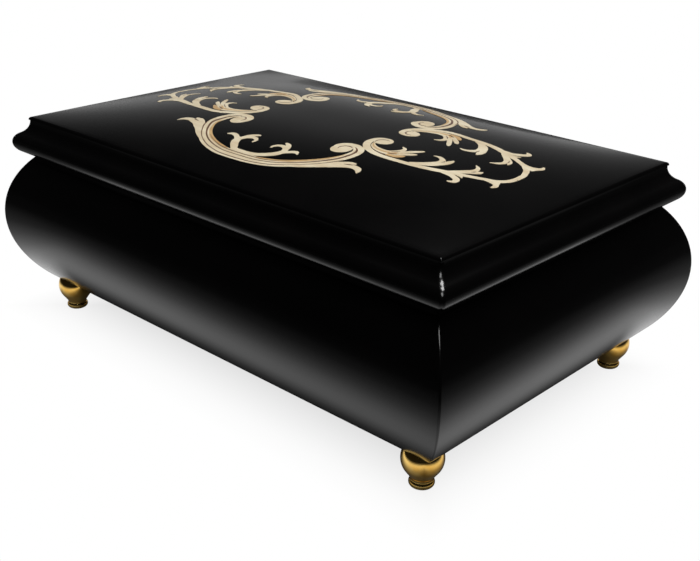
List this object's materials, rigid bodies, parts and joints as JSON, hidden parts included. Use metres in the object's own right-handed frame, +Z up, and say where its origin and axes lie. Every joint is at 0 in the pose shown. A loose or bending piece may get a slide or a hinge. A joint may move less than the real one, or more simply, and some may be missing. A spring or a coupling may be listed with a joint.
{
  "type": "music box",
  "caption": "Black lacquered music box with swelling sides, brass ball feet and a hinged cushion lid with scroll inlay, holding a lined compartment and a wind-up comb movement.",
  "frame": {"origin": "on the table, under the middle of the box", "axes": "+X along the length to the right, +Y to the hinges at the back, +Z up"},
  "size_m": [0.2076, 0.1356, 0.081],
  "materials": {
    "lacquer": "polished black lacquer",
    "board": "dark stained board",
    "inlay": "lacquered pale veneer",
    "velvet": "short-pile velvet",
    "brass": "polished",
    "steel": "ground",
    "bed_metal": "die cast",
    "clear_glass": "clear",
    "mirror_glass": "silvered",
    "nylon": "moulded"
  },
  "bodies": {
    "case": {"front_moulding": "lacquer", "back_moulding": "lacquer", "left_moulding": "lacquer", "right_moulding": "lacquer", "bottom_panel": "board", "foot_front_left": "brass", "foot_front_right": "brass", "foot_back_left": "brass", "foot_back_right": "brass", "hinge_case_leaves": "brass", "hinge_pins": "brass", "hinge_case_screws": "brass", "partition": "board", "window_ledges": "board", "movement_window": "clear_glass", "compartment_lining": "velvet", "roll_divider": "velvet", "ring_rolls": "velvet", "bedplate": "bed_metal", "bedplate_screws": "steel", "comb": "steel", "comb_screws": "steel", "governor_bracket": "brass", "bracket_screws": "steel", "plunger_guide": "brass"},
    "lid": {"lid_front_moulding": "lacquer", "lid_back_moulding": "lacquer", "lid_left_moulding": "lacquer", "lid_right_moulding": "lacquer", "lid_panel": "lacquer", "lid_inlay": "inlay", "lid_board": "velvet", "lid_mirror": "mirror_glass", "hinge_lid_leaves": "brass", "hinge_lid_screws": "brass"},
    "winding": {"winding_arbor": "steel", "winding_key": "brass"},
    "barrel": {"spring_barrel": "brass", "barrel_cap": "brass", "mainspring": "steel"},
    "cylinder": {"pinned_cylinder": "brass", "cylinder_arbor": "steel", "cylinder_pinion": "brass", "cylinder_wheel": "brass"},
    "governor": {"governor_arbor": "steel", "governor_pinion": "brass", "governor_wheel": "brass"},
    "fly": {"worm": "nylon", "air_fan": "nylon"},
    "plunger": {"stop_plunger": "brass"},
    "stop": {"stop_lever": "steel"}
  },
  "joints": [
    {"name": "lid_hinge", "type": "hinge", "parent": "case", "child": "lid", "pos_m": [0, 0.05977, 0.0612], "axis": [-1, 0, 0], "range_deg": [0, 95]},
    {"name": "key_wind", "type": "hinge", "parent": "case", "child": "winding", "pos_m": [-0.05907, -0.00868, 0.02], "axis": [0, 0, 1], "continuous": true},
    {"name": "cylinder_spin", "type": "hinge", "parent": "case", "child": "cylinder", "pos_m": [-0.05907, 0.00932, 0.0366], "axis": [0, 1, 0], "continuous": true},
    {"name": "barrel_spin", "type": "hinge", "parent": "case", "child": "barrel", "pos_m": [-0.05907, -0.00868, 0.02], "axis": [0, 0, 1], "continuous": true},
    {"name": "governor_spin", "type": "hinge", "parent": "case", "child": "governor", "pos_m": [-0.05002, 0.03952, 0.0366], "axis": [0, 1, 0], "continuous": true},
    {"name": "fly_spin", "type": "hinge", "parent": "case", "child": "fly", "pos_m": [-0.04347, 0.03952, 0.0366], "axis": [0, 0, 1], "continuous": true},
    {"name": "plunger_slide", "type": "slide", "parent": "case", "child": "plunger", "axis": [0, 0, 1], "range_m": [0, 0.0018]},
    {"name": "stop_turn", "type": "hinge", "parent": "case", "child": "stop", "pos_m": [-0.03457, 0.03952, 0.0386], "axis": [0, -1, 0], "range_deg": [0, 14]}
  ],
  "couplings": [
    {"joint": "cylinder_spin", "follows": "barrel_spin", "ratio": 4},
    {"joint": "governor_spin", "follows": "barrel_spin", "ratio": -12},
    {"joint": "fly_spin", "follows": "barrel_spin", "ratio": -240},
    {"joint": "plunger_slide", "follows": "lid_hinge", "m_per_rad": 0.0010856},
    {"joint": "stop_turn", "follows": "lid_hinge", "ratio": 0.14736}
  ]
}
